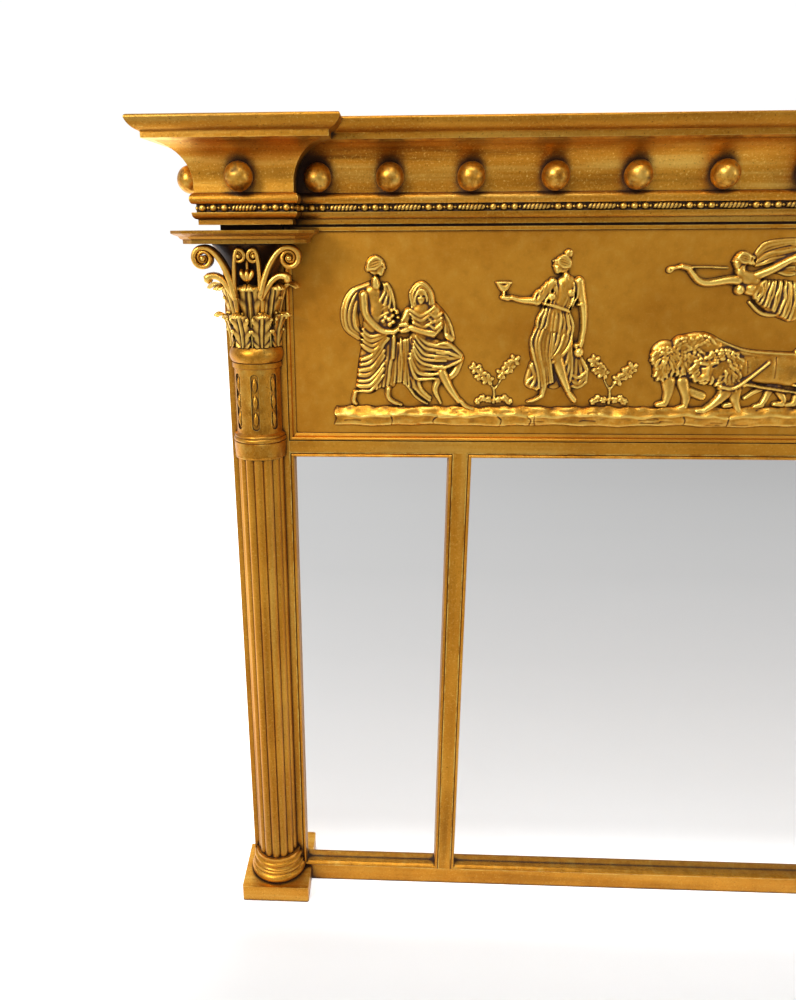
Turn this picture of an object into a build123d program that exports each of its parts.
from build123d import *
import os
from math import atan2, cos, degrees, pi, radians, sin, sqrt

# Triptych overmantel mirror: a gilt frame of stiles, rails and mullions round three mirror
# plates, a frieze with figures in relief, half columns on the stiles and a breakfront cornice
# with balls. X runs along the mirror, Y into the wall and Z up, all in millimetres.

# Sight openings
PANE_HEIGHT = 613.0
SIDE_PANE_WIDTH = 186.0
CENTRE_PANE_WIDTH = 672.0
FRIEZE_HEIGHT = 247.0

# Frame members
SLIP_WIDTH = 6.0
SLIP_DEPTH = 14.5
SLIP_PROUD = 2.5
SLIP_QUIRK = 0.6
MULLION_WIDTH = 16.0
STILE_WIDTH = 69.0
BOTTOM_RAIL_HEIGHT = 25.0
MID_RAIL_HEIGHT = 14.0
TOP_RAIL_HEIGHT = 80.5
TOP_RAIL_SETBACK = 4.0
MEMBER_DEPTH = 32.0
CARCASS_DEPTH = 40.0
TENON_LENGTH = 30.0
TENON_THICKNESS = 10.0
TENON_SHOULDER = 5.0
STUB_TENON_LENGTH = 8.0

# Plates and boards
GLASS_THICKNESS = 4.0
GLASS_CLEARANCE = 1.0
BACKBOARD_LAP = 20.0
BACKBOARD_RAIL_LAP = 12.0
BACKBOARD_MID_LAP = 9.0
BACKBOARD_GAP = 0.5
GLASS_BLOCK_LENGTH = 30.0
GLASS_BLOCK_SIZE = 9.0
PANEL_SETBACK = 8.0
PANEL_THICKNESS = 12.0
PANEL_MOULDING_WIDTH = 8.5
PANEL_MOULDING_SET = 0.5
PANEL_STRIP_HEIGHT = 4.0
PANEL_STRIP_THICKNESS = 5.0
PANEL_STRIP_DROP = 7.0

# Cornice
BLOCK_WIDTH = 95.0
BLOCK_PROJECTION = 33.0
BED_HEIGHT = 21.0
COVE_HEIGHT = 60.5
CAP_HEIGHT = 20.5
LEDGE_HEIGHT = 11.0
LEDGE_PROJECTION = 10.0
COVE_FOOT = 5.3
COVE_PROJECTION = 46.0
CAP_PROJECTION = 58.0
CAP_FILLET_HEIGHT = 5.5
BEAD_SEAT_HEIGHT = 8.5
BEAD_SEAT_PROJECTION = 4.0
BEAD_RADIUS = 3.6
BEAD_NECK_RADIUS = 1.3
BEAD_PITCH = 12.0
REEL_LENGTH = 31.0
REEL_RADIUS = 3.3
REEL_GAP = 3.4
BALL_RADIUS = 15.2
BALL_PITCH = 87.7
BALL_COUNT = 13
BALL_END_INSET = 25.5
BALL_SEAT_DEPTH = 3.0
BALL_HEIGHT = 26.0
PEG_RADIUS = 3.0
PEG_LENGTH = 24.0
TOP_BOARD_THICKNESS = 12.0

# Columns
PLINTH_WIDTH = 94.0
PLINTH_PROJECTION = 45.0
PLINTH_HEIGHT = 24.5
PLINTH_EDGE = 3.0
BASE_HEIGHT = 36.0
BASE_RADIUS = 38.7
SHAFT_RADIUS = 27.5
REED_COUNT = 7
REED_PITCH_ANGLE = 27.0
COLLAR_BOTTOM = 647.0
COLLAR_HEIGHT = 20.0
COLLAR_RADIUS = 31.2
NECK_HEIGHT = 111.5
NECK_RADIUS = 27.2
NECK_RING_HEIGHT = 9.0
TORUS_HEIGHT = 18.0
TORUS_RADIUS = 31.0
HUSK_SLOT_WIDTH = 9.0
HUSK_SLOT_LENGTH = 66.0
HUSK_SLOT_DEPTH = 2.0
HUSK_LENGTH = 20.0
HUSK_RADIUS = 3.2
HUSK_ANGLE = 50.0
BELL_HEIGHT = 112.5
BELL_LIP_RADIUS = 44.0
ABACUS_HEIGHT = 13.5
ABACUS_FRONT_WIDTH = 108.0
ABACUS_WIDTH = 132.0
ABACUS_PROJECTION = 59.0
ABACUS_FLARE = 16.0
LEAF_WIDTH = 30.0
LEAF_THICKNESS = 3.2
VOLUTE_RADIUS = 9.5
VOLUTE_REACH = 74.0
VOLUTE_WIDTH = 8.0

ABACUS_STEPS = [(0, 0), (0.3, 0.02), (0.38, 0.22), (0.56, 0.4), (0.68, 0.8), (0.78, 1.0), (1.0, 1.0)]

# Relief of the frieze, drawn at full size for the field below and scaled to fit the field
RELIEF_FIELD_WIDTH = 1095.0
RELIEF_FIELD_HEIGHT = 233.0
GROUND_BOTTOM = 17.0
GROUND_TOP = 43.0
GROUND_HALF_LENGTH = 501.0
GROUND_WAVE = 1.2
HEAD_DEPTH = 11.0
BODY_DEPTH = 9.5
LIMB_DEPTH = 8.0
CLOTH_DEPTH = 5.5
LEAF_DEPTH = 5.0
BUSH_SPREAD = 15.0
BUSH_HEIGHT = 52.0
BUSH_PLACES = [-314.0, -179.0, 318.0]

# Hanging plates with swinging rings
HANGER_HEIGHT = 800.0
STRAP_WIDTH = 20.0
STRAP_LENGTH = 62.0
STRAP_THICKNESS = 1.5
RING_WIRE_RADIUS = 1.75
RING_WIDTH = 34.0
RING_DROP = 30.0
RING_CLEARANCE = 0.05
RING_STANDOFF = 2.1
SCREW_RADIUS = 2.0
SCREW_HEAD_RADIUS = 4.0
SCREW_LENGTH = 24.0
SCREW_HEAD_HEIGHT = 2.0

# Levels and half widths that follow from the sizes above
SIGHT_BOTTOM = BOTTOM_RAIL_HEIGHT + SLIP_WIDTH
SIGHT_TOP = SIGHT_BOTTOM + PANE_HEIGHT
MID_RAIL_BOTTOM = SIGHT_TOP + SLIP_WIDTH
MID_RAIL_TOP = MID_RAIL_BOTTOM + MID_RAIL_HEIGHT
BED_BOTTOM = MID_RAIL_TOP + FRIEZE_HEIGHT - 1.0
COVE_BOTTOM = BED_BOTTOM + BED_HEIGHT
CAP_BOTTOM = COVE_BOTTOM + COVE_HEIGHT
CAP_TOP = CAP_BOTTOM + CAP_HEIGHT
TOP_RAIL_BOTTOM = CAP_BOTTOM - TOP_RAIL_HEIGHT
CENTRE_OPENING = CENTRE_PANE_WIDTH / 2 + SLIP_WIDTH
MULLION_OUTER = CENTRE_OPENING + MULLION_WIDTH
STILE_INNER = MULLION_OUTER + SIDE_PANE_WIDTH + 2 * SLIP_WIDTH
STILE_OUTER = STILE_INNER + STILE_WIDTH
COLUMN_X = STILE_OUTER - STILE_WIDTH / 2
BLOCK_INNER = COLUMN_X - BLOCK_WIDTH / 2
BLOCK_OUTER = COLUMN_X + BLOCK_WIDTH / 2
RING_AXIS_DEPTH = CARCASS_DEPTH + STRAP_THICKNESS + RING_STANDOFF
KNUCKLE_RADIUS = RING_WIRE_RADIUS + RING_CLEARANCE + STRAP_THICKNESS
FRONT_REACH = BLOCK_PROJECTION + CAP_PROJECTION
BACK_REACH = RING_AXIS_DEPTH + KNUCKLE_RADIUS
FACE_Y = (FRONT_REACH - BACK_REACH) / 2
NECK_BOTTOM = COLLAR_BOTTOM + COLLAR_HEIGHT
BELL_BOTTOM = NECK_BOTTOM + NECK_HEIGHT
ABACUS_BOTTOM = BELL_BOTTOM + BELL_HEIGHT
PANEL_FACE = FACE_Y + PANEL_SETBACK
BALL_Z = COVE_BOTTOM + BALL_HEIGHT
BALL_PROJECTION = COVE_FOOT + BALL_RADIUS - BALL_SEAT_DEPTH
SIDES = {"left": -1, "right": 1}


def save(piece, name):
    """Label a finished piece and write it as one STEP file."""
    piece.part.label = name
    export_step(piece.part, f"parts/{name}.step")


def block(x0, x1, y0, y1, z0, z1, mode=Mode.ADD):
    """A box between two corners, its Y measured back from the frame's face."""
    with Locations(((x0 + x1) / 2, FACE_Y + (y0 + y1) / 2, (z0 + z1) / 2)):
        Box(abs(x1 - x0), abs(y1 - y0), abs(z1 - z0), mode=mode)


# Screw places, shared by the screws and by the holes that they pass through
BACKBOARD_SCREW_LOW = BOTTOM_RAIL_HEIGHT - BACKBOARD_RAIL_LAP / 2
BACKBOARD_SCREW_HIGH = MID_RAIL_BOTTOM + BACKBOARD_MID_LAP / 2
SIDE_SCREW_X = [MULLION_OUTER + 0.25 * SIDE_PANE_WIDTH, MULLION_OUTER + 0.85 * SIDE_PANE_WIDTH]
CENTRE_SCREW_X = [-0.8 * CENTRE_OPENING, -0.27 * CENTRE_OPENING, 0.27 * CENTRE_OPENING, 0.8 * CENTRE_OPENING]
STRAP_SCREW_DROP = [22.0, 48.0]
BACK = FACE_Y + CARCASS_DEPTH


def board_screw_points():
    """Centres of the backboard screws on the back face."""
    points = []
    for z in (BACKBOARD_SCREW_LOW, BACKBOARD_SCREW_HIGH):
        points += [(side * x, BACK, z) for side in SIDES.values() for x in SIDE_SCREW_X]
        points += [(x, BACK, z) for x in CENTRE_SCREW_X]
    return points


def strap_screw_points(side):
    """Centres of the two screws that hold one hanging strap."""
    return [(side * COLUMN_X, BACK + STRAP_THICKNESS, HANGER_HEIGHT - drop) for drop in STRAP_SCREW_DROP]


def screw_group(points, mode=Mode.ADD):
    """Countersunk screws with their heads at the back, or the holes that they fill."""
    sink = SCREW_HEAD_HEIGHT / 2
    for x, y, z in points:
        with Locations(Location((x, y, z), (90, 0, 0))):
            Cylinder(SCREW_RADIUS, SCREW_LENGTH, align=(Align.CENTER, Align.CENTER, Align.MIN), mode=mode)
            with Locations((0, 0, sink)):
                Cone(SCREW_HEAD_RADIUS, SCREW_RADIUS, SCREW_HEAD_HEIGHT, mode=mode)


# Carcass: rails with tenons, stiles with mortises, and mullions with stub tenons
TENON_BACK = (MEMBER_DEPTH - TENON_THICKNESS) / 2


def rail_levels():
    """Bottom and top of each rail's tenon."""
    return [
        (TENON_SHOULDER, BOTTOM_RAIL_HEIGHT - TENON_SHOULDER),
        (MID_RAIL_BOTTOM + TENON_SHOULDER / 2, MID_RAIL_TOP - TENON_SHOULDER / 2),
        (TOP_RAIL_BOTTOM + TENON_SHOULDER, CAP_BOTTOM - TENON_SHOULDER),
    ]


def rail_tenons(z0, z1, mode=Mode.ADD):
    """Tenons at both ends of a rail, or the mortises that they fill."""
    for side in SIDES.values():
        block(side * STILE_INNER, side * (STILE_INNER + TENON_LENGTH), TENON_BACK, TENON_BACK + TENON_THICKNESS,
              z0, z1, mode=mode)


def mullion_tenons(mode=Mode.ADD):
    """Stub tenons at both ends of both mullions, or their mortises."""
    for side in SIDES.values():
        for z0, z1 in ((BOTTOM_RAIL_HEIGHT - STUB_TENON_LENGTH, BOTTOM_RAIL_HEIGHT),
                       (MID_RAIL_BOTTOM, MID_RAIL_BOTTOM + STUB_TENON_LENGTH)):
            block(side * (CENTRE_OPENING + 2), side * (MULLION_OUTER - 2), TENON_BACK,
                  TENON_BACK + TENON_THICKNESS, z0, z1, mode=mode)


with BuildPart() as bottom_rail:
    block(-STILE_INNER, STILE_INNER, 0, CARCASS_DEPTH, 0, BOTTOM_RAIL_HEIGHT)
    rail_tenons(*rail_levels()[0])
    block(-STILE_INNER, STILE_INNER, MEMBER_DEPTH, CARCASS_DEPTH, BOTTOM_RAIL_HEIGHT - BACKBOARD_RAIL_LAP,
          BOTTOM_RAIL_HEIGHT, mode=Mode.SUBTRACT)
    mullion_tenons(Mode.SUBTRACT)
    screw_group([p for p in board_screw_points() if p[2] == BACKBOARD_SCREW_LOW], Mode.SUBTRACT)
save(bottom_rail, "bottom_rail")

with BuildPart() as mid_rail:
    block(-STILE_INNER, STILE_INNER, 0, MEMBER_DEPTH, MID_RAIL_BOTTOM, MID_RAIL_TOP)
    rail_tenons(*rail_levels()[1])
    mullion_tenons(Mode.SUBTRACT)
    screw_group([p for p in board_screw_points() if p[2] == BACKBOARD_SCREW_HIGH], Mode.SUBTRACT)
save(mid_rail, "mid_rail")


# Balls: places along the centre run and on the blocks, as centre and the way they face
def ball_places():
    """Centre point and outward direction of every ball of the cornice."""
    half = (BALL_COUNT - 1) // 2
    run = [i * BALL_PITCH for i in range(-half + 1, half)]
    run += [-(BLOCK_INNER - BALL_END_INSET), BLOCK_INNER - BALL_END_INSET]
    centre_y = FACE_Y + TOP_RAIL_SETBACK - BALL_PROJECTION
    places = [((x, centre_y, BALL_Z), (0, -1, 0)) for x in run]
    for side in SIDES.values():
        places.append(((side * COLUMN_X, FACE_Y - BLOCK_PROJECTION - BALL_PROJECTION, BALL_Z), (0, -1, 0)))
        places.append(((side * (BLOCK_OUTER + BALL_PROJECTION), FACE_Y, BALL_Z), (side, 0, 0)))
    return places


def ball_pegs(mode=Mode.ADD):
    """The turned pegs behind the balls, or the holes that hold them."""
    for (x, y, z), (nx, ny, nz) in ball_places():
        length = BALL_RADIUS + PEG_LENGTH - 2 * BALL_SEAT_DEPTH
        with Locations(Plane((x, y, z), z_dir=(-nx, -ny, -nz))):
            Cylinder(PEG_RADIUS, length, align=(Align.CENTER, Align.CENTER, Align.MIN), mode=mode)


def ball_seats():
    """Shallow round seats that the balls sit in."""
    for place, _ in ball_places():
        with Locations(place):
            Sphere(BALL_RADIUS, mode=Mode.SUBTRACT)


with BuildPart() as top_rail:
    block(-STILE_INNER, STILE_INNER, TOP_RAIL_SETBACK, CARCASS_DEPTH, TOP_RAIL_BOTTOM, CAP_BOTTOM)
    rail_tenons(*rail_levels()[2])
    ball_pegs(Mode.SUBTRACT)
save(top_rail, "top_rail")

for side_name, side in SIDES.items():
    with BuildPart() as stile:
        block(side * STILE_INNER, side * STILE_OUTER, 0, CARCASS_DEPTH, 0, CAP_BOTTOM)
        block(side * STILE_INNER, side * (STILE_INNER + BACKBOARD_LAP), MEMBER_DEPTH, CARCASS_DEPTH,
              BOTTOM_RAIL_HEIGHT - BACKBOARD_RAIL_LAP, MID_RAIL_BOTTOM + BACKBOARD_MID_LAP, mode=Mode.SUBTRACT)
        for tenon_bottom, tenon_top in rail_levels():
            rail_tenons(tenon_bottom, tenon_top, Mode.SUBTRACT)
        ball_pegs(Mode.SUBTRACT)
        screw_group(strap_screw_points(side), Mode.SUBTRACT)
    save(stile, f"{side_name}_stile")

    with BuildPart() as mullion:
        block(side * CENTRE_OPENING, side * MULLION_OUTER, 0, MEMBER_DEPTH, BOTTOM_RAIL_HEIGHT, MID_RAIL_BOTTOM)
        for z0, z1 in ((BOTTOM_RAIL_HEIGHT - STUB_TENON_LENGTH, BOTTOM_RAIL_HEIGHT),
                       (MID_RAIL_BOTTOM, MID_RAIL_BOTTOM + STUB_TENON_LENGTH)):
            block(side * (CENTRE_OPENING + 2), side * (MULLION_OUTER - 2), TENON_BACK,
                  TENON_BACK + TENON_THICKNESS, z0, z1)
    save(mullion, f"{side_name}_mullion")

# Mirror plates, the mitred slips in front of them, the blocks behind and the backboards
PANES = {
    "left": (-STILE_INNER, -MULLION_OUTER),
    "centre": (-CENTRE_OPENING, CENTRE_OPENING),
    "right": (MULLION_OUTER, STILE_INNER),
}
GLASS_FRONT = SLIP_DEPTH - SLIP_PROUD
GLASS_BACK = GLASS_FRONT + GLASS_THICKNESS


def slip_profile():
    """Section of a slip: a bead at the sight edge, a quirk and a flat, its back on the glass."""
    back, edge = -GLASS_FRONT, SLIP_WIDTH
    with BuildLine() as outline:
        Polyline((0, back), (0, SLIP_QUIRK), (edge / 6, SLIP_QUIRK), (edge / 4, -SLIP_QUIRK), (edge / 3, 0))
        ThreePointArc((edge / 3, 0), (0.62 * edge, SLIP_PROUD), (0.9 * edge, SLIP_QUIRK))
        Polyline((0.9 * edge, SLIP_QUIRK), (edge, -SLIP_PROUD), (edge, back), (0, back))
    make_face(outline.edges())


def slip_lengths(x0, x1):
    """Four mitred lengths of slip round one opening."""
    corners = [(x0, BOTTOM_RAIL_HEIGHT), (x1, BOTTOM_RAIL_HEIGHT), (x1, MID_RAIL_BOTTOM), (x0, MID_RAIL_BOTTOM)]
    for i, (ax, az) in enumerate(corners):
        bx, bz = corners[(i + 1) % 4]
        length = abs(bx - ax) + abs(bz - az)
        along = Vector((bx - ax) / length, 0, (bz - az) / length)
        inward = Vector(-along.Z, 0, along.X)
        with BuildPart() as length_piece:
            start = Vector(ax, FACE_Y, az)
            with BuildSketch(Plane(start, x_dir=inward, z_dir=along)) as section:
                slip_profile()
            extrude(amount=length)
            split(bisect_by=Plane(start, z_dir=along - inward), keep=Keep.TOP)
            split(bisect_by=Plane(start + along * length, z_dir=along + inward), keep=Keep.BOTTOM)
        yield length_piece.part


SLIPS = {}
for pane_name, (x0, x1) in PANES.items():
    with BuildPart() as plate:
        block(x0 + GLASS_CLEARANCE, x1 - GLASS_CLEARANCE, GLASS_FRONT, GLASS_BACK,
              BOTTOM_RAIL_HEIGHT + GLASS_CLEARANCE, MID_RAIL_BOTTOM - GLASS_CLEARANCE)
    save(plate, f"{pane_name}_mirror_plate")

    with BuildPart() as slips:
        for slip in slip_lengths(x0, x1):
            add(slip)
    save(slips, f"{pane_name}_sight_slips")
    SLIPS[pane_name] = slips.part

    board_x0 = x0 - BACKBOARD_LAP if pane_name == "left" else x0 - MULLION_WIDTH / 2 + BACKBOARD_GAP
    board_x1 = x1 + BACKBOARD_LAP if pane_name == "right" else x1 + MULLION_WIDTH / 2 - BACKBOARD_GAP
    with BuildPart() as backboard:
        block(board_x0, board_x1, MEMBER_DEPTH, CARCASS_DEPTH, BOTTOM_RAIL_HEIGHT - BACKBOARD_RAIL_LAP,
              MID_RAIL_BOTTOM + BACKBOARD_MID_LAP)
        screw_group([p for p in board_screw_points() if board_x0 < p[0] < board_x1], Mode.SUBTRACT)
    save(backboard, f"{pane_name}_backboard")

with BuildPart() as glass_blocks:
    for x0, x1 in PANES.values():
        for edge, inward in ((x0, 1), (x1, -1)):
            for share in (0.12, 0.5, 0.88):
                z = BOTTOM_RAIL_HEIGHT + share * (MID_RAIL_BOTTOM - BOTTOM_RAIL_HEIGHT)
                with BuildSketch(Plane.XY.offset(z - GLASS_BLOCK_LENGTH / 2)):
                    with BuildLine():
                        Polyline((edge, FACE_Y + GLASS_BACK), (edge + inward * GLASS_BLOCK_SIZE, FACE_Y + GLASS_BACK),
                                 (edge, FACE_Y + GLASS_BACK + GLASS_BLOCK_SIZE), close=True)
                    make_face()
                extrude(amount=GLASS_BLOCK_LENGTH)
save(glass_blocks, "glass_blocks")

with BuildPart() as backboard_screws:
    screw_group(board_screw_points())
save(backboard_screws, "backboard_screws")

# Frieze panel and the moulding round its field
with BuildPart() as frieze_panel:
    block(-STILE_INNER, STILE_INNER, PANEL_SETBACK, PANEL_SETBACK + PANEL_THICKNESS, MID_RAIL_TOP, TOP_RAIL_BOTTOM)
save(frieze_panel, "frieze_panel")


def panel_moulding_profile():
    """Section of the field moulding: a high bead outside and a low fillet inside."""
    width, high = PANEL_MOULDING_WIDTH, PANEL_SETBACK - PANEL_MOULDING_SET
    with BuildLine() as outline:
        Line((0, 0), (0, 0.78 * high))
        ThreePointArc((0, 0.78 * high), (0.26 * width, high), (0.54 * width, 0.72 * high))
        Polyline((0.54 * width, 0.72 * high), (0.63 * width, 0.4 * high), (width, 0.27 * high), (width, 0), (0, 0))
    make_face(outline.edges())


FIELD_CORNERS = [
    (-STILE_INNER, BED_BOTTOM - PANEL_STRIP_DROP + PANEL_STRIP_HEIGHT),
    (-STILE_INNER, MID_RAIL_TOP),
    (STILE_INNER, MID_RAIL_TOP),
    (STILE_INNER, BED_BOTTOM - PANEL_STRIP_DROP + PANEL_STRIP_HEIGHT),
]
with BuildPart() as frieze_moulding:
    for i in range(3):
        (ax, az), (bx, bz) = FIELD_CORNERS[i], FIELD_CORNERS[i + 1]
        length = abs(bx - ax) + abs(bz - az)
        along = Vector((bx - ax) / length, 0, (bz - az) / length)
        inward = Vector(-along.Z, 0, along.X)
        start = Vector(ax, PANEL_FACE, az)
        with BuildPart() as field_length:
            with BuildSketch(Plane(start, x_dir=inward, z_dir=along)):
                panel_moulding_profile()
            extrude(amount=length)
            if i > 0:
                split(bisect_by=Plane(start, z_dir=along - inward), keep=Keep.TOP)
            if i < 2:
                split(bisect_by=Plane(start + along * length, z_dir=along + inward), keep=Keep.BOTTOM)
        add(field_length.part)
    strip_half = STILE_INNER - PANEL_MOULDING_WIDTH
    strip_bottom = BED_BOTTOM - PANEL_STRIP_DROP
    block(-strip_half, strip_half, PANEL_SETBACK - PANEL_STRIP_THICKNESS, PANEL_SETBACK, strip_bottom,
          strip_bottom + PANEL_STRIP_HEIGHT)
save(frieze_moulding, "frieze_moulding")

# Frieze reliefs: each figure is built of tapered round-ended limbs that lie on the panel
RELIEF_SCALE = min(2 * (STILE_INNER - PANEL_MOULDING_WIDTH) / RELIEF_FIELD_WIDTH,
                   (FRIEZE_HEIGHT - 1.0 - PANEL_STRIP_DROP) / RELIEF_FIELD_HEIGHT)
RELIEF_PLANE = Plane((0, PANEL_FACE, MID_RAIL_TOP), x_dir=(1, 0, 0), z_dir=(0, -1, 0))


def limb(depth, x0, z0, r0, x1, z1, r1):
    """A tapered round-ended limb from one joint to the next."""
    with BuildSketch(RELIEF_PLANE) as flat:
        with Locations((x0 * RELIEF_SCALE, z0 * RELIEF_SCALE)):
            Circle(r0 * RELIEF_SCALE)
        with Locations((x1 * RELIEF_SCALE, z1 * RELIEF_SCALE)):
            Circle(r1 * RELIEF_SCALE)
        make_hull()
    extrude(flat.sketch, amount=depth * RELIEF_SCALE)


DRAPED_COUPLE = [
    (HEAD_DEPTH, -452, 203, 9, -450, 197, 8), (LIMB_DEPTH, -451, 196, 5, -449, 182, 6),
    (BODY_DEPTH, -462, 172, 7, -441, 174, 7), (BODY_DEPTH, -452, 170, 14, -453, 138, 14),
    (BODY_DEPTH, -454, 138, 15, -452, 108, 18), (BODY_DEPTH, -452, 108, 18, -455, 76, 20),
    (BODY_DEPTH, -465, 78, 9, -466, 68, 9), (BODY_DEPTH, -440, 92, 12, -438, 74, 12),
    (LIMB_DEPTH, -464, 171, 6, -463, 146, 5), (LIMB_DEPTH, -463, 146, 5, -432, 131, 4),
    (CLOTH_DEPTH, -461, 184, 3, -480, 172, 5), (CLOTH_DEPTH, -480, 172, 5, -487, 148, 5),
    (CLOTH_DEPTH, -487, 148, 5, -479, 127, 6), (CLOTH_DEPTH, -479, 127, 6, -468, 122, 5),
    (CLOTH_DEPTH, -470, 160, 10, -474, 135, 9), (LIMB_DEPTH, -470, 66, 5, -477, 50, 4),
    (LIMB_DEPTH, -438, 66, 4, -437, 50, 4), (LIMB_DEPTH, -437, 48, 4, -424, 46, 3),
    (BODY_DEPTH, -434, 146, 8, -430, 132, 7), (HEAD_DEPTH, -400, 173, 12, -400, 165, 11),
    (CLOTH_DEPTH, -404, 166, 10, -394, 160, 12), (BODY_DEPTH, -412, 148, 8, -386, 149, 9),
    (BODY_DEPTH, -400, 146, 14, -401, 120, 16), (BODY_DEPTH, -400, 116, 18, -366, 101, 12),
    (LIMB_DEPTH, -385, 146, 8, -386, 130, 6), (LIMB_DEPTH, -387, 130, 5, -420, 133, 5),
    (LIMB_DEPTH, -374, 146, 5, -368, 122, 6), (BODY_DEPTH, -409, 112, 12, -400, 84, 14),
    (BODY_DEPTH, -394, 92, 16, -392, 82, 9), (LIMB_DEPTH, -364, 98, 10, -372, 84, 7),
    (LIMB_DEPTH, -377, 84, 7, -354, 50, 4), (LIMB_DEPTH, -354, 48, 4, -338, 42, 3),
    (CLOTH_DEPTH, -417, 106, 9, -414, 70, 8), (CLOTH_DEPTH, -414, 66, 7, -394, 52, 5),
    (LIMB_DEPTH, -386, 72, 5, -378, 50, 4), (CLOTH_DEPTH, -425, 100, 9, -424, 74, 9),
]
CUP_BEARER = [
    (HEAD_DEPTH, -247, 203, 10, -246, 198, 9), (HEAD_DEPTH, -241, 210, 6, -237, 215, 4),
    (LIMB_DEPTH, -245, 194, 5, -243, 186, 6), (BODY_DEPTH, -255, 180, 7, -232, 181, 7),
    (BODY_DEPTH, -244, 178, 13, -247, 158, 13), (BODY_DEPTH, -247, 158, 14, -248, 132, 18),
    (BODY_DEPTH, -248, 130, 19, -252, 104, 16), (BODY_DEPTH, -257, 106, 12, -256, 82, 9),
    (LIMB_DEPTH, -256, 179, 6, -272, 166, 5), (LIMB_DEPTH, -272, 165, 5, -300, 166, 4),
    (LIMB_DEPTH, -304, 168, 5, -308, 171, 4), (LIMB_DEPTH, -309, 172, 3, -309, 178, 8),
    (LIMB_DEPTH, -315, 182, 3, -303, 182, 3), (LIMB_DEPTH, -230, 180, 7, -221, 159, 5),
    (LIMB_DEPTH, -221, 159, 5, -217, 122, 4), (LIMB_DEPTH, -217, 120, 4, -220, 107, 6),
    (LIMB_DEPTH, -244, 104, 9, -234, 72, 5), (LIMB_DEPTH, -234, 72, 5, -228, 52, 4),
    (LIMB_DEPTH, -258, 84, 6, -257, 52, 4), (LIMB_DEPTH, -258, 50, 4, -271, 47, 3),
    (LIMB_DEPTH, -228, 50, 4, -222, 48, 4), (CLOTH_DEPTH, -268, 126, 8, -270, 78, 8),
    (CLOTH_DEPTH, -270, 76, 8, -258, 70, 8), (CLOTH_DEPTH, -224, 106, 5, -220, 78, 10),
    (CLOTH_DEPTH, -232, 80, 8, -218, 76, 9),
]
LION_PAIR = [
    (HEAD_DEPTH, -118, 106, 17, -116, 92, 17), (BODY_DEPTH, -120, 88, 13, -122, 78, 7),
    (BODY_DEPTH, -100, 108, 18, -72, 108, 20), (BODY_DEPTH, -72, 106, 21, -52, 98, 20),
    (HEAD_DEPTH, -72, 92, 17, -72, 80, 15), (BODY_DEPTH, -56, 92, 22, -60, 76, 17),
    (BODY_DEPTH, -84, 74, 12, -84, 66, 7), (LIMB_DEPTH, -106, 84, 10, -113, 54, 6),
    (LIMB_DEPTH, -114, 50, 6, -120, 47, 4), (LIMB_DEPTH, -54, 68, 9, -76, 48, 5),
    (LIMB_DEPTH, -42, 68, 9, -38, 50, 5), (LIMB_DEPTH, -92, 64, 7, -92, 49, 5),
    (BODY_DEPTH, -44, 90, 19, 10, 86, 20), (BODY_DEPTH, 10, 86, 20, 56, 88, 21),
    (LIMB_DEPTH, 56, 84, 18, 62, 66, 9), (LIMB_DEPTH, 62, 66, 8, 54, 50, 5), (LIMB_DEPTH, 52, 48, 4, 44, 47, 4),
    (LIMB_DEPTH, 44, 74, 12, 26, 58, 6), (LIMB_DEPTH, 26, 58, 6, 22, 49, 5),
    (LIMB_DEPTH, -24, 66, 5, -12, 50, 5), (LIMB_DEPTH, 0, 66, 5, 12, 50, 5),
    (CLOTH_DEPTH, 72, 92, 4, 92, 78, 3), (CLOTH_DEPTH, 92, 78, 3, 97, 62, 4),
]
WINGED_HERALD = [
    (HEAD_DEPTH, -53, 204, 9, -50, 203, 9), (LIMB_DEPTH, -122, 198, 5, -106, 200, 4),
    (LIMB_DEPTH, -106, 200, 3, -62, 200, 2), (LIMB_DEPTH, -108, 197, 4, -88, 184, 5),
    (LIMB_DEPTH, -88, 184, 5, -54, 186, 6), (BODY_DEPTH, -48, 188, 8, -38, 178, 12),
    (BODY_DEPTH, -45, 175, 8, -22, 172, 13), (BODY_DEPTH, -22, 172, 14, 4, 166, 17),
    (BODY_DEPTH, 4, 166, 17, 34, 158, 15), (CLOTH_DEPTH, 6, 160, 15, 14, 152, 12),
    (LIMB_DEPTH, 34, 160, 10, 66, 166, 5), (LIMB_DEPTH, 66, 166, 5, 82, 170, 3),
    (LIMB_DEPTH, 34, 152, 9, 62, 150, 5), (LIMB_DEPTH, 62, 150, 5, 80, 148, 3),
    (CLOTH_DEPTH, 22, 168, 14, 48, 160, 9), (CLOTH_DEPTH, -35, 163, 3, -10, 149, 3),
    (LIMB_DEPTH, -36, 190, 6, -4, 202, 5), (LIMB_DEPTH, -4, 202, 5, 20, 209, 4),
    (CLOTH_DEPTH, -34, 206, 7, -14, 218, 8), (CLOTH_DEPTH, -14, 218, 8, 14, 217, 9),
    (CLOTH_DEPTH, 14, 217, 9, 44, 206, 6), (CLOTH_DEPTH, -6, 206, 9, 26, 200, 7),
    (CLOTH_DEPTH, 44, 206, 6, 58, 196, 3),
]
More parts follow.
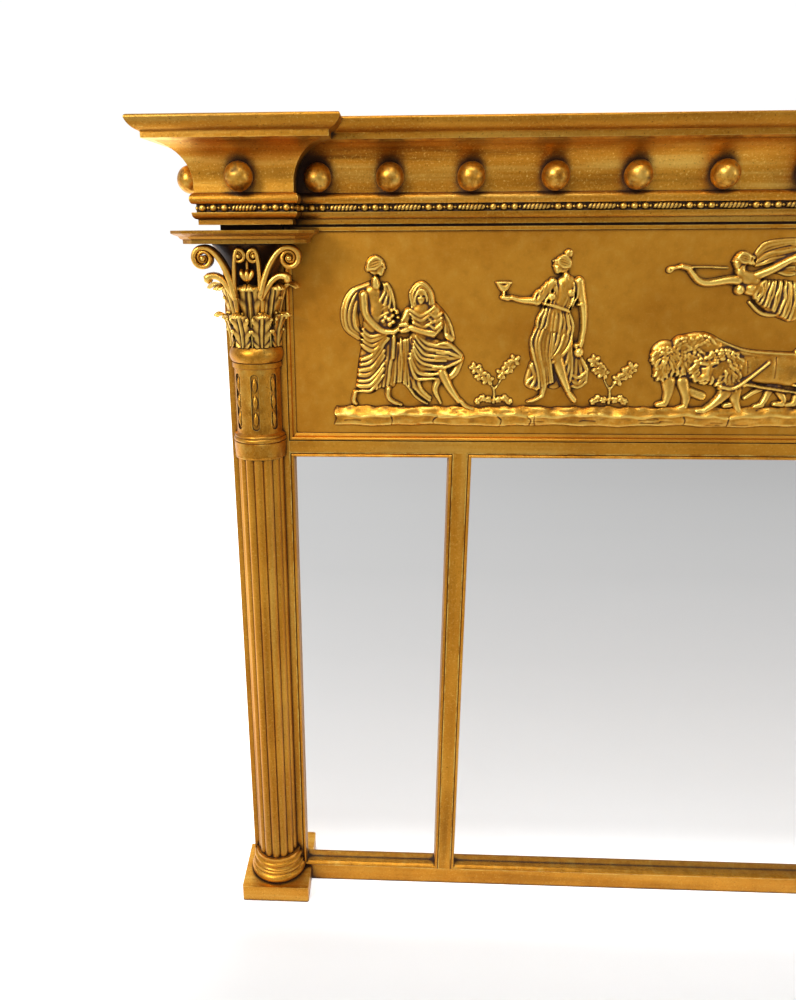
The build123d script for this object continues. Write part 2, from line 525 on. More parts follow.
CHARIOT_RIDER = [
    (LIMB_DEPTH, 140, 78, 28, 141, 78, 28), (BODY_DEPTH, 116, 104, 9, 138, 92, 12),
    (BODY_DEPTH, 138, 92, 12, 176, 100, 10), (BODY_DEPTH, 176, 100, 10, 188, 122, 5),
    (BODY_DEPTH, 186, 124, 5, 192, 132, 4), (BODY_DEPTH, 120, 108, 6, 112, 126, 4),
    (BODY_DEPTH, 156, 118, 16, 132, 116, 11), (BODY_DEPTH, 154, 126, 15, 152, 160, 14),
    (BODY_DEPTH, 142, 166, 6, 163, 166, 6), (LIMB_DEPTH, 152, 168, 6, 151, 182, 5),
    (HEAD_DEPTH, 151, 188, 9, 150, 195, 9), (LIMB_DEPTH, 142, 165, 6, 126, 148, 5),
    (LIMB_DEPTH, 126, 148, 5, 108, 144, 4), (LIMB_DEPTH, 164, 165, 6, 176, 148, 5),
    (LIMB_DEPTH, 176, 148, 5, 184, 166, 4), (LIMB_DEPTH, 184, 138, 2, 186, 212, 2),
    (LIMB_DEPTH, 186, 212, 5, 187, 218, 4), (CLOTH_DEPTH, 166, 152, 9, 172, 122, 9),
    (CLOTH_DEPTH, 84, 108, 2, 112, 140, 2),
]
ATTENDANTS = [
    (HEAD_DEPTH, 246, 203, 9, 247, 197, 8), (LIMB_DEPTH, 247, 196, 5, 248, 184, 6),
    (BODY_DEPTH, 236, 178, 7, 259, 178, 7), (BODY_DEPTH, 248, 176, 13, 247, 150, 12),
    (BODY_DEPTH, 247, 150, 14, 250, 118, 18), (BODY_DEPTH, 250, 118, 18, 256, 82, 20),
    (LIMB_DEPTH, 236, 178, 6, 222, 196, 5), (LIMB_DEPTH, 222, 196, 5, 226, 212, 4),
    (LIMB_DEPTH, 260, 177, 6, 276, 160, 5), (LIMB_DEPTH, 276, 160, 5, 266, 144, 4),
    (CLOTH_DEPTH, 262, 140, 10, 280, 96, 9), (CLOTH_DEPTH, 276, 96, 9, 268, 76, 8),
    (LIMB_DEPTH, 240, 70, 6, 236, 50, 4), (LIMB_DEPTH, 236, 48, 4, 226, 47, 3),
    (LIMB_DEPTH, 262, 68, 6, 266, 50, 4), (LIMB_DEPTH, 266, 48, 4, 257, 47, 3),
    (HEAD_DEPTH, 380, 201, 9, 381, 195, 8), (LIMB_DEPTH, 382, 194, 5, 382, 182, 6),
    (BODY_DEPTH, 370, 176, 7, 393, 176, 7), (BODY_DEPTH, 382, 174, 13, 383, 148, 12),
    (BODY_DEPTH, 383, 148, 14, 380, 116, 18), (BODY_DEPTH, 380, 116, 18, 376, 80, 19),
    (LIMB_DEPTH, 394, 176, 6, 410, 168, 5), (LIMB_DEPTH, 410, 168, 5, 420, 178, 4),
    (LIMB_DEPTH, 370, 176, 6, 358, 156, 5), (LIMB_DEPTH, 358, 156, 5, 350, 138, 4),
    (CLOTH_DEPTH, 352, 138, 7, 352, 100, 9), (LIMB_DEPTH, 368, 68, 6, 364, 50, 4),
    (LIMB_DEPTH, 364, 48, 4, 354, 47, 3), (LIMB_DEPTH, 386, 68, 6, 390, 50, 4), (LIMB_DEPTH, 390, 48, 4, 381, 47, 3),
    (HEAD_DEPTH, 444, 202, 9, 443, 196, 8), (LIMB_DEPTH, 443, 194, 5, 442, 184, 6),
    (BODY_DEPTH, 431, 178, 7, 454, 178, 7), (BODY_DEPTH, 442, 176, 13, 441, 150, 12),
    (BODY_DEPTH, 441, 150, 14, 444, 118, 17), (BODY_DEPTH, 444, 118, 17, 446, 82, 19),
    (LIMB_DEPTH, 431, 178, 6, 420, 178, 5), (LIMB_DEPTH, 455, 177, 6, 466, 158, 5),
    (LIMB_DEPTH, 466, 158, 5, 468, 136, 4), (CLOTH_DEPTH, 462, 148, 8, 466, 96, 8),
    (LIMB_DEPTH, 436, 68, 6, 432, 50, 4), (LIMB_DEPTH, 432, 48, 4, 422, 47, 3),
    (LIMB_DEPTH, 454, 68, 6, 456, 50, 4), (LIMB_DEPTH, 456, 48, 4, 447, 47, 3),
]
RELIEFS = {
    "draped_couple": DRAPED_COUPLE,
    "cup_bearer": CUP_BEARER,
    "lion_pair": LION_PAIR,
    "winged_herald": WINGED_HERALD,
    "chariot_rider": CHARIOT_RIDER,
    "attendants": ATTENDANTS,
}

with BuildPart() as ground_strip:
    waves = 24
    crest = []
    for i in range(waves + 1):
        x = GROUND_HALF_LENGTH * (2 * i / waves - 1) * RELIEF_SCALE
        crest.append((-x, (GROUND_TOP + GROUND_WAVE * sin(2.1 * i) * sin(0.7 * i)) * RELIEF_SCALE))
    with BuildSketch(RELIEF_PLANE):
        with BuildLine():
            Spline(*crest)
            Line(crest[-1], (crest[-1][0], GROUND_BOTTOM * RELIEF_SCALE))
            Line((crest[-1][0], GROUND_BOTTOM * RELIEF_SCALE), (crest[0][0], GROUND_BOTTOM * RELIEF_SCALE))
            Line((crest[0][0], GROUND_BOTTOM * RELIEF_SCALE), crest[0])
        make_face()
    extrude(amount=HEAD_DEPTH * RELIEF_SCALE)
save(ground_strip, "ground_strip")

for relief_name, limbs in RELIEFS.items():
    with BuildPart() as relief:
        for limb_sizes in limbs:
            limb(*limb_sizes)
        add(ground_strip.part, mode=Mode.SUBTRACT)
    save(relief, relief_name)

with BuildPart() as bushes:
    for bush_x in BUSH_PLACES:
        crown = GROUND_TOP + BUSH_HEIGHT
        fork = GROUND_TOP + 0.36 * BUSH_HEIGHT
        limb(LEAF_DEPTH, bush_x, GROUND_TOP, 3, bush_x, fork, 2)
        for lean in (-1, 1):
            branch_x = bush_x + 0.7 * lean * BUSH_SPREAD
            limb(LEAF_DEPTH, bush_x, fork, 2, branch_x, crown - 18, 2)
            limb(LEAF_DEPTH, branch_x, crown - 14, 8, branch_x + 0.5 * lean * BUSH_SPREAD, crown - 5, 7)
            limb(LEAF_DEPTH, bush_x, GROUND_TOP + 5, 6, bush_x + 0.75 * lean * BUSH_SPREAD, GROUND_TOP + 7, 5)
    add(ground_strip.part, mode=Mode.SUBTRACT)
save(bushes, "bushes")

# Cornice: mitred lengths of three mouldings that run round the blocks and along the centre
RUN = [
    (-BLOCK_OUTER, BACK),
    (-BLOCK_OUTER, FACE_Y - BLOCK_PROJECTION),
    (-BLOCK_INNER, FACE_Y - BLOCK_PROJECTION),
    (-BLOCK_INNER, FACE_Y + TOP_RAIL_SETBACK),
    (BLOCK_INNER, FACE_Y + TOP_RAIL_SETBACK),
    (BLOCK_INNER, FACE_Y - BLOCK_PROJECTION),
    (BLOCK_OUTER, FACE_Y - BLOCK_PROJECTION),
    (BLOCK_OUTER, BACK),
]


def run_segments():
    """Start, direction, length and outward side of each straight length of the run."""
    for (ax, ay), (bx, by) in zip(RUN, RUN[1:]):
        length = abs(bx - ax) + abs(by - ay)
        along = Vector((bx - ax) / length, (by - ay) / length, 0)
        yield Vector(ax, ay, 0), along, length, Vector(along.Y, -along.X, 0)


def mitred_run(profile):
    """All lengths of one moulding, mitred where the run turns."""
    segments = list(run_segments())
    for i, (start, along, length, outward) in enumerate(segments):
        before = segments[i - 1][1] if i > 0 else along
        after = segments[i + 1][1] if i + 1 < len(segments) else along
        with BuildPart() as run_length:
            with BuildSketch(Plane(start - along * CAP_PROJECTION, x_dir=outward, z_dir=-along)):
                profile()
            extrude(amount=-(length + 2 * CAP_PROJECTION))
            split(bisect_by=Plane(start, z_dir=before + along), keep=Keep.TOP)
            split(bisect_by=Plane(start + along * length, z_dir=along + after), keep=Keep.BOTTOM)
        yield run_length.part


def bed_profile():
    """Bed moulding: a fillet, a sloping nose and the flat seat of the beads."""
    seat_bottom = COVE_BOTTOM - BEAD_SEAT_HEIGHT
    with BuildLine() as outline:
        Polyline((0, BED_BOTTOM), (3, BED_BOTTOM), (3, BED_BOTTOM + 5.5), (5.5, BED_BOTTOM + 6))
        ThreePointArc((5.5, BED_BOTTOM + 6), (7.8, BED_BOTTOM + 8.6), (8.5, seat_bottom))
        Polyline((8.5, seat_bottom), (BEAD_SEAT_PROJECTION, seat_bottom), (BEAD_SEAT_PROJECTION, COVE_BOTTOM),
                 (0, COVE_BOTTOM), (0, BED_BOTTOM))
    make_face(outline.edges())


def cove_profile():
    """Cove moulding: a round ledge at the foot and a deep hollow that flares to the cap."""
    ledge_top = COVE_BOTTOM + LEDGE_HEIGHT
    hollow = COVE_PROJECTION - COVE_FOOT
    with BuildLine() as outline:
        Line((0, COVE_BOTTOM), (LEDGE_PROJECTION - 2, COVE_BOTTOM))
        ThreePointArc((LEDGE_PROJECTION - 2, COVE_BOTTOM), (LEDGE_PROJECTION, COVE_BOTTOM + 0.55 * LEDGE_HEIGHT),
                      (COVE_FOOT, ledge_top))
        Line((COVE_FOOT, ledge_top), (COVE_FOOT, CAP_BOTTOM - hollow))
        ThreePointArc((COVE_FOOT, CAP_BOTTOM - hollow), (COVE_FOOT + 0.29 * hollow, CAP_BOTTOM - 0.30 * hollow),
                      (COVE_PROJECTION, CAP_BOTTOM))
        Polyline((COVE_PROJECTION, CAP_BOTTOM), (0, CAP_BOTTOM), (0, COVE_BOTTOM))
    make_face(outline.edges())


def cap_profile():
    """Cap moulding: a fillet under a swelling ovolo with an eased top edge."""
    fillet_top = CAP_BOTTOM + CAP_FILLET_HEIGHT
    with BuildLine() as outline:
        Polyline((0, CAP_BOTTOM), (COVE_PROJECTION, CAP_BOTTOM), (COVE_PROJECTION, fillet_top),
                 (COVE_PROJECTION + 1.0, fillet_top + 0.8))
        ThreePointArc((COVE_PROJECTION + 1.0, fillet_top + 0.8), (CAP_PROJECTION - 3.4, fillet_top + 6.0),
                      (CAP_PROJECTION, CAP_TOP - 3.2))
        ThreePointArc((CAP_PROJECTION, CAP_TOP - 3.2), (CAP_PROJECTION - 0.9, CAP_TOP - 0.7),
                      (CAP_PROJECTION - 3.0, CAP_TOP))
        Polyline((CAP_PROJECTION - 3.0, CAP_TOP), (0, CAP_TOP), (0, CAP_BOTTOM))
    make_face(outline.edges())


with BuildPart() as bed_moulding:
    for piece in mitred_run(bed_profile):
        add(piece)
save(bed_moulding, "bed_moulding")

with BuildPart() as cove_moulding:
    for piece in mitred_run(cove_profile):
        add(piece)
    ball_pegs(Mode.SUBTRACT)
    ball_seats()
save(cove_moulding, "cove_moulding")

with BuildPart() as cap_moulding:
    for piece in mitred_run(cap_profile):
        add(piece)
save(cap_moulding, "cap_moulding")

with BuildPart() as cornice_balls:
    for place, _ in ball_places():
        with Locations(place):
            Sphere(BALL_RADIUS)
    ball_pegs()
save(cornice_balls, "cornice_balls")

for side_name, side in SIDES.items():
    with BuildPart() as block_core:
        block(side * BLOCK_INNER, side * BLOCK_OUTER, -BLOCK_PROJECTION, CARCASS_DEPTH, BED_BOTTOM, CAP_BOTTOM)
        block(side * STILE_INNER, side * STILE_OUTER, 0, CARCASS_DEPTH, BED_BOTTOM, CAP_BOTTOM, mode=Mode.SUBTRACT)
        block(side * (BLOCK_INNER - 1), side * STILE_INNER, TOP_RAIL_SETBACK, CARCASS_DEPTH, BED_BOTTOM,
              CAP_BOTTOM, mode=Mode.SUBTRACT)
        ball_pegs(Mode.SUBTRACT)
    save(block_core, f"{side_name}_block_core")

with BuildPart() as top_board:
    with BuildSketch(Plane.XY.offset(CAP_BOTTOM)):
        with BuildLine():
            Polyline(*RUN, close=True)
        make_face()
    extrude(amount=TOP_BOARD_THICKNESS)
save(top_board, "top_board")


# Bead and reel string: flat-backed units of three beads, and twisted reels between them
def bead_unit(count):
    """A row of half-round beads joined by thin necks, along X from its first neck."""
    half_chord = sqrt(BEAD_RADIUS ** 2 - BEAD_NECK_RADIUS ** 2)
    with BuildPart() as unit:
        with BuildSketch(Plane.XZ):
            with BuildLine():
                Line((0, 0), (0, BEAD_NECK_RADIUS))
                for i in range(count):
                    middle = (i + 0.5) * BEAD_PITCH
                    Line((i * BEAD_PITCH, BEAD_NECK_RADIUS), (middle - half_chord, BEAD_NECK_RADIUS))
                    ThreePointArc((middle - half_chord, BEAD_NECK_RADIUS), (middle, BEAD_RADIUS),
                                  (middle + half_chord, BEAD_NECK_RADIUS))
                    Line((middle + half_chord, BEAD_NECK_RADIUS), ((i + 1) * BEAD_PITCH, BEAD_NECK_RADIUS))
                Line((count * BEAD_PITCH, BEAD_NECK_RADIUS), (count * BEAD_PITCH, 0))
                Line((count * BEAD_PITCH, 0), (0, 0))
            make_face()
        revolve(axis=Axis.X, revolution_arc=180)
    return unit.part


def reel_unit():
    """A long reel between two small rings, along X from its first neck."""
    end, ring = REEL_GAP, 3.0
    total = REEL_LENGTH + 2 * end
    with BuildPart() as unit:
        with BuildSketch(Plane.XZ):
            with BuildLine():
                Polyline((0, 0), (0, BEAD_NECK_RADIUS), (end, BEAD_NECK_RADIUS))
                ThreePointArc((end, BEAD_NECK_RADIUS), (end + ring / 2, REEL_RADIUS), (end + ring, REEL_RADIUS - 1))
                ThreePointArc((end + ring, REEL_RADIUS - 1), (total / 2, REEL_RADIUS + 0.3),
                              (total - end - ring, REEL_RADIUS - 1))
                ThreePointArc((total - end - ring, REEL_RADIUS - 1), (total - end - ring / 2, REEL_RADIUS),
                              (total - end, BEAD_NECK_RADIUS))
                Polyline((total - end, BEAD_NECK_RADIUS), (total, BEAD_NECK_RADIUS), (total, 0), (0, 0))
            make_face()
        revolve(axis=Axis.X, revolution_arc=180)
    return unit.part


REEL_UNIT_LENGTH = REEL_LENGTH + 2 * REEL_GAP


def string_plan(length, with_reels):
    """Units that fill one length of the run evenly: (count of beads or 0 for a reel, start)."""
    group = 3 * BEAD_PITCH
    if not with_reels:
        count = int((length - 6) // BEAD_PITCH)
        return [(count, (length - count * BEAD_PITCH) / 2)]
    reels = int((length - group) // (group + REEL_UNIT_LENGTH))
    at = (length - reels * (group + REEL_UNIT_LENGTH) - group) / 2
    plan = []
    for _ in range(reels):
        plan += [(3, at), (0, at + group)]
        at += group + REEL_UNIT_LENGTH
    return plan + [(3, at)]


BEAD_Z = COVE_BOTTOM - BEAD_SEAT_HEIGHT / 2
with BuildPart() as bead_string:
    for start, along, length, outward in run_segments():
        inner_turn = abs(along.Y) > 0.5 and abs(start.X) < COLUMN_X
        for count, at in string_plan(length, with_reels=length > BLOCK_WIDTH - 1 and not inner_turn):
            origin = start + outward * BEAD_SEAT_PROJECTION + along * at + Vector(0, 0, BEAD_Z)
            seat = Plane(origin, x_dir=along, z_dir=(0, 0, 1))
            unit_part = bead_unit(count) if count else reel_unit()
            facing = Rotation(0, 0, 0) if seat.y_dir.dot(outward) < 0 else Rotation(180, 0, 0)
            add(seat.location * facing * unit_part)
save(bead_string, "bead_string")


# Columns: half turnings on the stiles
def half_turning(side, outline):
    """Revolve an outline of (radius, height) points and keep the half in front of the stile."""
    axis_plane = Plane((side * COLUMN_X, FACE_Y, 0), x_dir=(1, 0, 0), z_dir=(0, -1, 0))
    with BuildSketch(axis_plane) as section:
        outline()
    revolve(section.sketch, axis=Axis((side * COLUMN_X, FACE_Y, 0), (0, 0, 1)))
    split(bisect_by=Plane((0, FACE_Y, 0), x_dir=(1, 0, 0), z_dir=(0, -1, 0)), keep=Keep.TOP)


def base_outline():
    """Two toruses with a scotia between them and fillets above and below."""
    z = PLINTH_HEIGHT
    big = BASE_RADIUS
    with BuildLine() as outline:
        Polyline((0, z), (big - 2, z))
        ThreePointArc((big - 2, z), (big, z + 5.5), (big - 2.4, z + 11))
        Line((big - 2.4, z + 11), (big - 4.2, z + 12.5))
        ThreePointArc((big - 4.2, z + 12.5), (big - 2.8, z + 15), (big - 4.2, z + 17.5))
        ThreePointArc((big - 4.2, z + 17.5), (big - 7.6, z + 20.5), (big - 6.4, z + 24))
        ThreePointArc((big - 6.4, z + 24), (big - 4.0, z + 27.2), (big - 6.2, z + 30.2))
        Polyline((big - 6.2, z + 30.2), (big - 7.4, z + 30.8), (big - 7.4, z + BASE_HEIGHT), (0, z + BASE_HEIGHT),
                 (0, z))
    make_face(outline.edges())


def collar_outline():
    """A plain band with a fine line at its foot."""
    z = COLLAR_BOTTOM
    with BuildLine() as outline:
        Polyline((0, z), (COLLAR_RADIUS - 1, z), (COLLAR_RADIUS - 0.4, z + 1.8), (COLLAR_RADIUS - 0.8, z + 2.4),
                 (COLLAR_RADIUS, z + COLLAR_HEIGHT - 1), (COLLAR_RADIUS - 1, z + COLLAR_HEIGHT),
                 (0, z + COLLAR_HEIGHT), (0, z))
    make_face(outline.edges())


def neck_outline():
    """The neck: a double ring at the foot, a plain drum, a fillet and a full torus above."""
    z, top, drum = NECK_BOTTOM, BELL_BOTTOM, NECK_RADIUS
    ring = NECK_RING_HEIGHT
    torus_foot = top - TORUS_HEIGHT
    with BuildLine() as outline:
        Line((0, z), (TORUS_RADIUS - 1, z))
        ThreePointArc((TORUS_RADIUS - 1, z), (TORUS_RADIUS + 0.6, z + 0.3 * ring), (TORUS_RADIUS - 1, z + 0.6 * ring))
        ThreePointArc((TORUS_RADIUS - 1, z + 0.6 * ring), (TORUS_RADIUS - 0.4, z + 0.8 * ring),
                      (TORUS_RADIUS - 2, z + ring))
        Polyline((TORUS_RADIUS - 2, z + ring), (drum, z + ring + 1.5), (drum, torus_foot - 7),
                 (drum + 1.8, torus_foot - 6), (drum + 1.8, torus_foot - 0.5), (drum + 1.0, torus_foot))
        ThreePointArc((drum + 1.0, torus_foot), (TORUS_RADIUS + 0.5, torus_foot + 0.52 * TORUS_HEIGHT),
                      (drum + 0.6, top))
        Polyline((drum + 0.6, top), (0, top), (0, z))
    make_face(outline.edges())


def bell_outline():
    """The capital's bell: nearly straight, then flared to its lip."""
    z = BELL_BOTTOM
    with BuildLine() as outline:
        Line((0, z), (NECK_RADIUS - 1.5, z))
        Line((NECK_RADIUS - 1.5, z), (NECK_RADIUS - 1.0, z + 0.45 * BELL_HEIGHT))
        ThreePointArc((NECK_RADIUS - 1.0, z + 0.45 * BELL_HEIGHT), (NECK_RADIUS + 3.6, z + 0.78 * BELL_HEIGHT),
                      (BELL_LIP_RADIUS, z + BELL_HEIGHT - 2))
        Polyline((BELL_LIP_RADIUS, z + BELL_HEIGHT - 2), (BELL_LIP_RADIUS, z + BELL_HEIGHT), (0, z + BELL_HEIGHT),
                 (0, z))
    make_face(outline.edges())


def around(side, angle):
    """Frame on the column's axis at the stile's face, its X pointing out at an angle from the front."""
    turn = radians(angle)
    return Plane((side * COLUMN_X, FACE_Y, 0), x_dir=(sin(turn), -cos(turn), 0), z_dir=(0, 0, 1))


def leaf_piece(bottom, height, reach):
    """One leaf in the XZ plane facing +X: a curling tongue cut to a lobed outline."""
    inner = NECK_RADIUS - 4.0
    top = bottom + height
    curl = inner + LEAF_THICKNESS + 1.8 + reach
    with BuildPart() as leaf:
        with BuildSketch(Plane.XZ):
            with BuildLine():
                Line((inner, bottom), (inner + LEAF_THICKNESS + 1.8, bottom))
                Spline((inner + LEAF_THICKNESS + 1.8, bottom), (inner + LEAF_THICKNESS + 2.4, bottom + 0.55 * height),
                       (curl - 0.35 * reach, top - 0.1 * height), (curl, top - 0.14 * height))
                ThreePointArc((curl, top - 0.14 * height), (curl - 0.1 * reach, top - 0.04 * height),
                              (curl - 0.45 * reach, top))
                Spline((curl - 0.45 * reach, top), (inner + 0.8 * LEAF_THICKNESS, top - 0.22 * height),
                       (inner, bottom + 0.5 * height))
                Line((inner, bottom + 0.5 * height), (inner, bottom))
            make_face()
        extrude(amount=LEAF_WIDTH / 2, both=True)
        with BuildSketch(Plane.YZ):
            half = LEAF_WIDTH / 2
            with BuildLine():
                outline = [(0.34, 0.0), (0.42, 0.16), (0.76, 0.24), (0.56, 0.36), (0.98, 0.48), (0.62, 0.58),
                           (0.9, 0.74), (0.46, 0.80), (0.5, 0.93), (0.0, 1.0)]
                right_side = [(half * w, bottom + height * h) for w, h in outline]
                left_side = [(-half * w, bottom + height * h) for w, h in reversed(outline[:-1])]
                Polyline(*right_side, *left_side, close=True)
            make_face()
        extrude(amount=2 * BELL_LIP_RADIUS, mode=Mode.INTERSECT)
    return leaf.part


LEAF_ROWS = [
    (0.0, 0.42, 9.0, (-78, -38, 0, 38, 78)),
    (0.30, 0.40, 15.0, (-62, 0, 62)),
]


def volute_piece():
    """One scroll on its stem in the XZ plane: a ribbon that rises, reaches out and curls in."""
    centre_z = BELL_BOTTOM + 0.875 * BELL_HEIGHT
    ribbon = 3.4
    steps = 26
    outer, inner = [], []
    for i in range(steps + 1):
        share = i / steps
        angle = pi / 2 - share * 3.5 * pi
        radius = VOLUTE_RADIUS * (1 - 0.86 * share)
        outer.append((VOLUTE_REACH + radius * cos(angle), centre_z + radius * sin(angle)))
        inner_radius = max(radius - ribbon * (1 - 0.62 * share), 0.25)
        inner.append((VOLUTE_REACH + inner_radius * cos(angle), centre_z + inner_radius * sin(angle)))
    stem_foot = BELL_BOTTOM + 0.52 * BELL_HEIGHT
    with BuildPart() as volute:
        with BuildSketch(Plane.XZ):
            with BuildLine():
                Spline((NECK_RADIUS - 3, stem_foot), (NECK_RADIUS + 8, centre_z - 12), (VOLUTE_REACH - 18, centre_z + 6.5),
                       outer[0], *outer[1:])
                Line(outer[-1], inner[-1])
                Spline(*reversed(inner), (VOLUTE_REACH - 17, centre_z + 2.8), (NECK_RADIUS + 12, centre_z - 15),
                       (NECK_RADIUS + 2, stem_foot))
                Line((NECK_RADIUS + 2, stem_foot), (NECK_RADIUS - 3, stem_foot))
            make_face()
        extrude(amount=VOLUTE_WIDTH / 2, both=True)
    return volute.part


for side_name, side in SIDES.items():
    with BuildPart() as plinth:
        block(side * COLUMN_X - PLINTH_WIDTH / 2, side * COLUMN_X + PLINTH_WIDTH / 2, -PLINTH_PROJECTION, 0,
              0, PLINTH_HEIGHT)
        block(side * STILE_OUTER, side * (COLUMN_X + PLINTH_WIDTH / 2), 0, CARCASS_DEPTH, 0, PLINTH_HEIGHT)
        fillet(plinth.edges().filter_by(Axis.Z).group_by(Axis.Y)[0], PLINTH_EDGE)
    save(plinth, f"{side_name}_plinth")

    with BuildPart() as column_base:
        half_turning(side, base_outline)
        add(SLIPS[side_name], mode=Mode.SUBTRACT)
    save(column_base, f"{side_name}_column_base")

    with BuildPart() as shaft:
        shaft_bottom = PLINTH_HEIGHT + BASE_HEIGHT
        reed_radius = SHAFT_RADIUS * sin(radians(REED_PITCH_ANGLE / 2)) * 0.98
        reed_ring = SHAFT_RADIUS - reed_radius
        with BuildSketch(Plane.XY.offset(shaft_bottom)):
            with Locations((side * COLUMN_X, FACE_Y)):
                Circle(reed_ring + 0.3)
            for i in range(REED_COUNT):
                turn = radians((i - (REED_COUNT - 1) / 2) * REED_PITCH_ANGLE)
                with Locations((side * COLUMN_X + reed_ring * sin(turn), FACE_Y - reed_ring * cos(turn))):
                    Circle(reed_radius)
            with Locations((side * COLUMN_X, FACE_Y + SHAFT_RADIUS)):
                Rectangle(4 * SHAFT_RADIUS, 2 * SHAFT_RADIUS, mode=Mode.SUBTRACT)
        extrude(amount=COLLAR_BOTTOM - shaft_bottom)
    save(shaft, f"{side_name}_shaft")

    with BuildPart() as collar:
        half_turning(side, collar_outline)
    save(collar, f"{side_name}_collar")

    with BuildPart() as neck:
        half_turning(side, neck_outline)
        slot_z = (NECK_BOTTOM + NECK_RING_HEIGHT + BELL_BOTTOM - TORUS_HEIGHT - 6) / 2
        for angle in (-HUSK_ANGLE, 0, HUSK_ANGLE):
            out = around(side, angle)
            seat = Plane(out.origin + out.x_dir * (NECK_RADIUS + 5) + Vector(0, 0, slot_z), x_dir=(0, 0, 1),
                         z_dir=-out.x_dir)
            with BuildSketch(seat):
                SlotOverall(HUSK_SLOT_LENGTH, HUSK_SLOT_WIDTH)
            extrude(amount=5 + HUSK_SLOT_DEPTH, mode=Mode.SUBTRACT)
            for i in (-1, 0, 1):
                foot = out.origin + out.x_dir * (NECK_RADIUS - HUSK_SLOT_DEPTH) + Vector(
                    0, 0, slot_z + (i - 0.48) * HUSK_LENGTH)
                with BuildSketch(Plane(foot, x_dir=(0, 0, 1), z_dir=-out.y_dir)):
                    with BuildLine():
                        Line((0, 0), (0.96 * HUSK_LENGTH, 0))
                        ThreePointArc((0, 0), (0.48 * HUSK_LENGTH, HUSK_RADIUS), (0.96 * HUSK_LENGTH, 0))
                    make_face()
                revolve(axis=Axis(foot, (0, 0, 1)))
    save(neck, f"{side_name}_neck")

    with BuildPart() as bell:
        half_turning(side, bell_outline)
    save(bell, f"{side_name}_bell")

    with BuildPart() as leaves:
        for foot, height, reach, angles in LEAF_ROWS:
            leaf = leaf_piece(BELL_BOTTOM + foot * BELL_HEIGHT, height * BELL_HEIGHT, reach)
            for angle in angles:
                add(around(side, angle).location * leaf)
        block(side * COLUMN_X - 200, side * COLUMN_X + 200, 0, 200, 0, CAP_TOP, mode=Mode.SUBTRACT)
        add(bell.part, mode=Mode.SUBTRACT)
    save(leaves, f"{side_name}_leaves")

    with BuildPart() as volutes:
        for angle in (-45, 45):
            add(around(side, angle).location * volute_piece())
        block(side * COLUMN_X - 200, side * COLUMN_X + 200, 0, 200, 0, CAP_TOP, mode=Mode.SUBTRACT)
        add(bell.part, mode=Mode.SUBTRACT)
        add(leaves.part, mode=Mode.SUBTRACT)
    save(volutes, f"{side_name}_volutes")

    with BuildPart() as abacus:
        for height_share, flare_share in ABACUS_STEPS:
            grow = flare_share * ABACUS_FLARE
            front, wide = ABACUS_FRONT_WIDTH / 2 + 0.4 * grow, ABACUS_WIDTH / 2 + 0.6 * grow
            reach = ABACUS_PROJECTION + grow
            cant = reach - (wide - front)
            cx = side * COLUMN_X
            with BuildSketch(Plane.XY.offset(ABACUS_BOTTOM + height_share * ABACUS_HEIGHT)):
                with BuildLine():
                    Polyline((cx - wide, FACE_Y), (cx - wide, FACE_Y - cant), (cx - front, FACE_Y - reach),
                             (cx + front, FACE_Y - reach), (cx + wide, FACE_Y - cant), (cx + wide, FACE_Y),
                             close=True)
                make_face()
        loft(ruled=True)
    save(abacus, f"{side_name}_abacus")


# Hangers: a screwed strap with a rolled knuckle, and a swinging D ring
def ring_axis(side):
    """Point on the hinge line of one ring."""
    return Vector(side * COLUMN_X, FACE_Y + RING_AXIS_DEPTH, HANGER_HEIGHT)


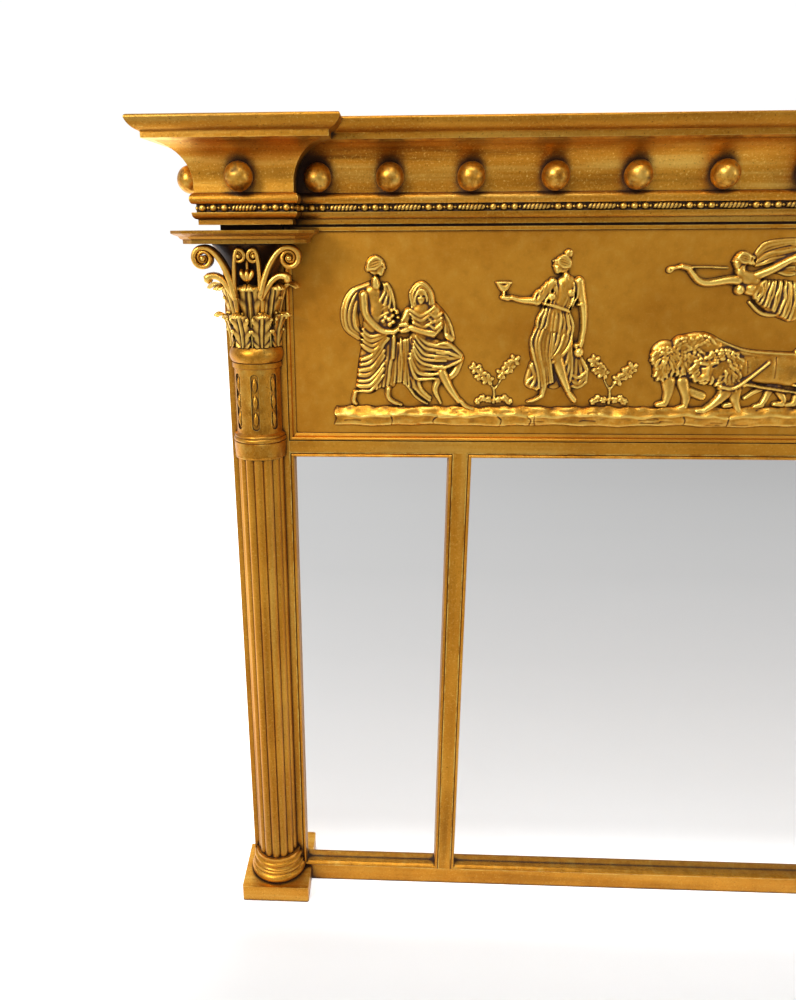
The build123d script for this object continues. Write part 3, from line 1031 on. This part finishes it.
for side_name, side in SIDES.items():
    axis_point = ring_axis(side)
    with BuildPart() as strap:
        with BuildSketch(Plane((side * COLUMN_X, BACK, HANGER_HEIGHT), x_dir=(1, 0, 0), z_dir=(0, 1, 0))):
            with Locations((0, STRAP_LENGTH / 2)):
                RectangleRounded(STRAP_WIDTH, STRAP_LENGTH, 6)
        extrude(amount=STRAP_THICKNESS)
        with BuildSketch(Plane(axis_point - Vector(STRAP_WIDTH / 2, 0, 0), x_dir=(0, 1, 0), z_dir=(1, 0, 0))):
            Circle(KNUCKLE_RADIUS)
        extrude(amount=STRAP_WIDTH)
        block(side * COLUMN_X - STRAP_WIDTH / 2, side * COLUMN_X + STRAP_WIDTH / 2, CARCASS_DEPTH,
              CARCASS_DEPTH + STRAP_THICKNESS, HANGER_HEIGHT - KNUCKLE_RADIUS, HANGER_HEIGHT + KNUCKLE_RADIUS)
        with BuildSketch(Plane(axis_point - Vector(STRAP_WIDTH, 0, 0), x_dir=(0, 1, 0), z_dir=(1, 0, 0))):
            Circle(RING_WIRE_RADIUS + RING_CLEARANCE)
        extrude(amount=2 * STRAP_WIDTH, mode=Mode.SUBTRACT)
        screw_group(strap_screw_points(side), Mode.SUBTRACT)
    save(strap, f"{side_name}_hanger_strap")

    with BuildPart() as ring:
        half = RING_WIDTH / 2 - RING_WIRE_RADIUS
        bend = 5.0
        with BuildLine() as wire_line:
            left_top, right_top = axis_point + Vector(-half, 0, 0), axis_point + Vector(half, 0, 0)
            foot = axis_point - Vector(0, 0, RING_DROP)
            FilletPolyline(axis_point, right_top, right_top - Vector(0, 0, 10), foot + Vector(0.45 * half, 0, 0),
                           foot, radius=[bend, bend, bend])
            FilletPolyline(axis_point, left_top, left_top - Vector(0, 0, 10), foot - Vector(0.45 * half, 0, 0),
                           foot, radius=[bend, bend, bend])
        with BuildSketch(Plane(axis_point, x_dir=(0, 1, 0), z_dir=(1, 0, 0))):
            Circle(RING_WIRE_RADIUS)
        sweep(path=wire_line.wires()[0])
    save(ring, f"{side_name}_hanger_ring")

with BuildPart() as hanger_screws:
    screw_group(strap_screw_points(-1) + strap_screw_points(1))
save(hanger_screws, "hanger_screws")
